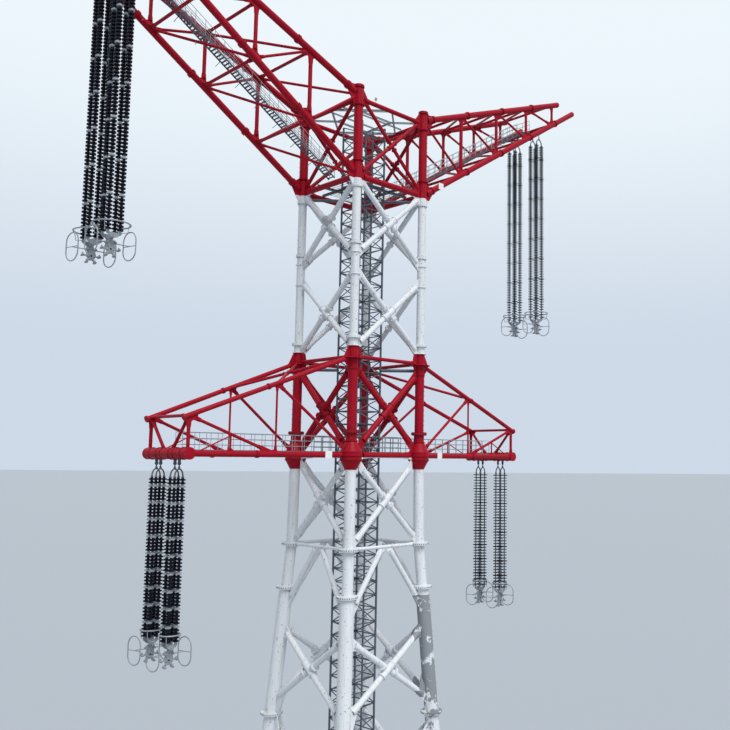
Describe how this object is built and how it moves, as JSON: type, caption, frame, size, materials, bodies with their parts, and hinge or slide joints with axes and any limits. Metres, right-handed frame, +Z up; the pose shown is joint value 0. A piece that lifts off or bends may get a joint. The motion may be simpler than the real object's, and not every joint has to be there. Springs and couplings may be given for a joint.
{
  "type": "tubular steel transmission tower, one-tenth scale model",
  "caption": "Four-legged lattice tower of steel tubes with two crossarms, a central lift shaft, walkways and swinging insulator sets.",
  "frame": {"origin": "middle of the lift shaft's base plate, on its underside at ground level", "axes": "+Z up; +X along the crossarms to the right; +Y along the line, away from the picture's near side"},
  "size_m": [6.756, 6.756, 34.6648],
  "materials": {
    "banded_paint": "weathered white and deep red paint in bands, rust at edges",
    "galvanized_steel": "dull zinc, weathered",
    "dark_glaze": "dark brown glaze",
    "grey_composite": "dark grey, matt",
    "lamp_glass": "red lens",
    "plate_enamel": "plain enamel"
  },
  "bodies": {
    "tower": {"bare_plates": "plate_enamel", "foot_plates": "banded_paint", "hanger_clevises": "galvanized_steel", "head_bracing_back": "banded_paint", "head_bracing_front": "banded_paint", "head_bracing_left": "banded_paint", "head_bracing_right": "banded_paint", "head_platform": "galvanized_steel", "leg_left_back": "banded_paint", "leg_left_front": "banded_paint", "leg_right_back": "banded_paint", "leg_right_front": "banded_paint", "lift_shaft_base": "galvanized_steel", "lift_shaft_panels": "galvanized_steel", "lift_shaft_posts": "galvanized_steel", "lift_shaft_stays": "galvanized_steel", "lower_arm_left_chords": "banded_paint", "lower_arm_left_lattice": "banded_paint", "lower_arm_right_chords": "banded_paint", "lower_arm_right_lattice": "banded_paint", "lower_bracing_back": "banded_paint", "lower_bracing_front": "banded_paint", "lower_bracing_left": "banded_paint", "lower_bracing_right": "banded_paint", "lower_railings": "galvanized_steel", "lower_walkways": "galvanized_steel", "middle_bracing_back": "banded_paint", "middle_bracing_front": "banded_paint", "middle_bracing_left": "banded_paint", "middle_bracing_right": "banded_paint", "obstruction_lamps": "lamp_glass", "upper_arm_left_chords": "banded_paint", "upper_arm_left_lattice": "banded_paint", "upper_arm_right_chords": "banded_paint", "upper_arm_right_lattice": "banded_paint", "upper_railings": "galvanized_steel", "upper_walkways": "galvanized_steel"},
    "set_upper_left_front": {"insulator_set_upper_left_front": "dark_glaze"},
    "set_upper_left_back": {"insulator_set_upper_left_back": "dark_glaze"},
    "set_upper_right_front": {"insulator_set_upper_right_front": "grey_composite"},
    "set_upper_right_back": {"insulator_set_upper_right_back": "grey_composite"},
    "set_lower_left_front": {"insulator_set_lower_left_front": "dark_glaze"},
    "set_lower_left_back": {"insulator_set_lower_left_back": "dark_glaze"},
    "set_lower_right_front": {"insulator_set_lower_right_front": "grey_composite"},
    "set_lower_right_back": {"insulator_set_lower_right_back": "grey_composite"}
  },
  "joints": [
    {"name": "swing_upper_left_front", "type": "hinge", "parent": "tower", "child": "set_upper_left_front", "pos_m": [-2.477, -0.163, 34.29553], "axis": [0, 1, 0], "range_deg": [-35, 35]},
    {"name": "swing_upper_left_back", "type": "hinge", "parent": "tower", "child": "set_upper_left_back", "pos_m": [-2.477, 0.163, 34.29553], "axis": [0, 1, 0], "range_deg": [-35, 35]},
    {"name": "swing_upper_right_front", "type": "hinge", "parent": "tower", "child": "set_upper_right_front", "pos_m": [2.477, -0.163, 34.29553], "axis": [0, 1, 0], "range_deg": [-35, 35]},
    {"name": "swing_upper_right_back", "type": "hinge", "parent": "tower", "child": "set_upper_right_back", "pos_m": [2.477, 0.163, 34.29553], "axis": [0, 1, 0], "range_deg": [-35, 35]},
    {"name": "swing_lower_left_front", "type": "hinge", "parent": "tower", "child": "set_lower_left_front", "pos_m": [-1.875, -0.145, 30.42413], "axis": [0, 1, 0], "range_deg": [-35, 35]},
    {"name": "swing_lower_left_back", "type": "hinge", "parent": "tower", "child": "set_lower_left_back", "pos_m": [-1.875, 0.145, 30.42413], "axis": [0, 1, 0], "range_deg": [-35, 35]},
    {"name": "swing_lower_right_front", "type": "hinge", "parent": "tower", "child": "set_lower_right_front", "pos_m": [1.875, -0.145, 30.42413], "axis": [0, 1, 0], "range_deg": [-35, 35]},
    {"name": "swing_lower_right_back", "type": "hinge", "parent": "tower", "child": "set_lower_right_back", "pos_m": [1.875, 0.145, 30.42413], "axis": [0, 1, 0], "range_deg": [-35, 35]}
  ]
}
